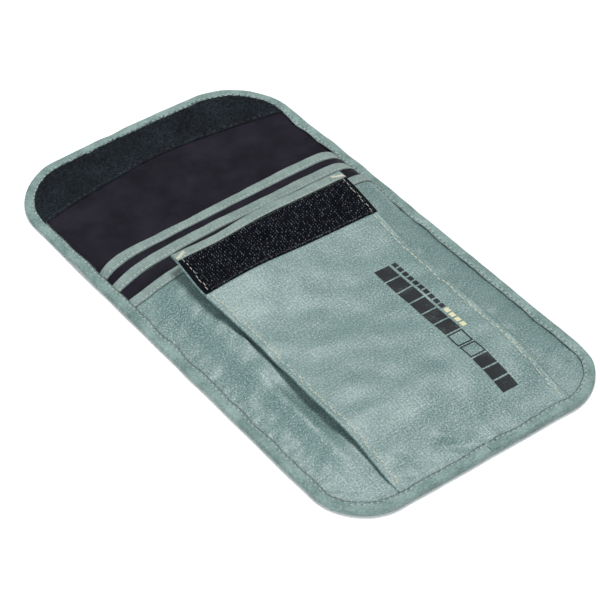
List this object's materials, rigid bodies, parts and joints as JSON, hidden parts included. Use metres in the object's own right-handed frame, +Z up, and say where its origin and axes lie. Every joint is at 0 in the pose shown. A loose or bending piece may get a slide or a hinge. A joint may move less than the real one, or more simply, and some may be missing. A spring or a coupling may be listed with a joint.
{
  "type": "travel neck wallet",
  "caption": "Flat fabric travel wallet lying open, with a fold-over flap, two slip pockets, a pleated front pocket and a hook-and-loop closure.",
  "frame": {"origin": "under the middle of the open wallet's outline, on the surface it lies on", "axes": "+X to the wallet's right with the bottom edge nearest the viewer, +Y from the bottom edge towards the flap's end, +Z up out of the front"},
  "size_m": [0.13, 0.239, 0.0173],
  "materials": {
    "outer_nylon": "coated fine ripstop weave, satin",
    "lining_nylon": "fine plain weave, matte",
    "shield_film": "thin metallised film",
    "lip_tape": "fine ribbed tape, matte",
    "binding_tape": "folded woven tape, satin",
    "sewing_thread": "twisted polyester thread",
    "dark_thread": "twisted polyester thread",
    "hook_tape": "rows of fine moulded hooks",
    "loop_tape": "brushed loop pile",
    "dark_print": "thin transfer print",
    "pale_print": "thin transfer print"
  },
  "bodies": {
    "pouch": {"back_panel": "outer_nylon", "back_shield": "shield_film", "back_lining": "lining_nylon", "rear_pocket": "lining_nylon", "rear_pocket_tape": "lip_tape", "rear_tape_stitches": "sewing_thread", "middle_pocket": "lining_nylon", "middle_pocket_tape": "lip_tape", "middle_tape_stitches": "sewing_thread", "left_side_panel": "outer_nylon", "left_side_tape": "lip_tape", "left_side_tape_stitches": "sewing_thread", "right_side_panel": "outer_nylon", "right_side_tape": "lip_tape", "right_side_tape_stitches": "sewing_thread", "left_pleat": "outer_nylon", "right_pleat": "outer_nylon", "body_binding": "binding_tape", "body_binding_stitches": "sewing_thread", "binding_join": "binding_tape"},
    "front_pocket": {"front_lining": "lining_nylon", "front_shield": "shield_film", "front_panel": "outer_nylon", "front_lip_tape": "lip_tape", "front_lip_stitches": "sewing_thread", "left_bartack": "sewing_thread", "right_bartack": "sewing_thread", "left_topstitch": "sewing_thread", "right_topstitch": "sewing_thread", "hook_strip": "hook_tape", "hook_strip_stitches": "dark_thread", "print_bars": "dark_print", "print_line": "pale_print"},
    "flap": {"flap_panel": "outer_nylon", "flap_shield": "shield_film", "flap_lining": "lining_nylon", "loop_strip": "loop_tape", "loop_strip_stitches": "dark_thread", "flap_binding": "binding_tape", "flap_binding_stitches": "sewing_thread"}
  },
  "joints": [
    {"name": "flap_fold", "type": "hinge", "parent": "pouch", "child": "flap", "pos_m": [0, 0.0585, 0.01025], "axis": [1, 0, 0], "range_deg": [0, 180]},
    {"name": "front_pocket_flatten", "type": "hinge", "parent": "pouch", "child": "front_pocket", "pos_m": [0, -0.1133, 0.00325], "axis": [1, 0, 0], "range_deg": [-1.2, 0], "deforming": ["left_pleat", "right_pleat"]}
  ]
}
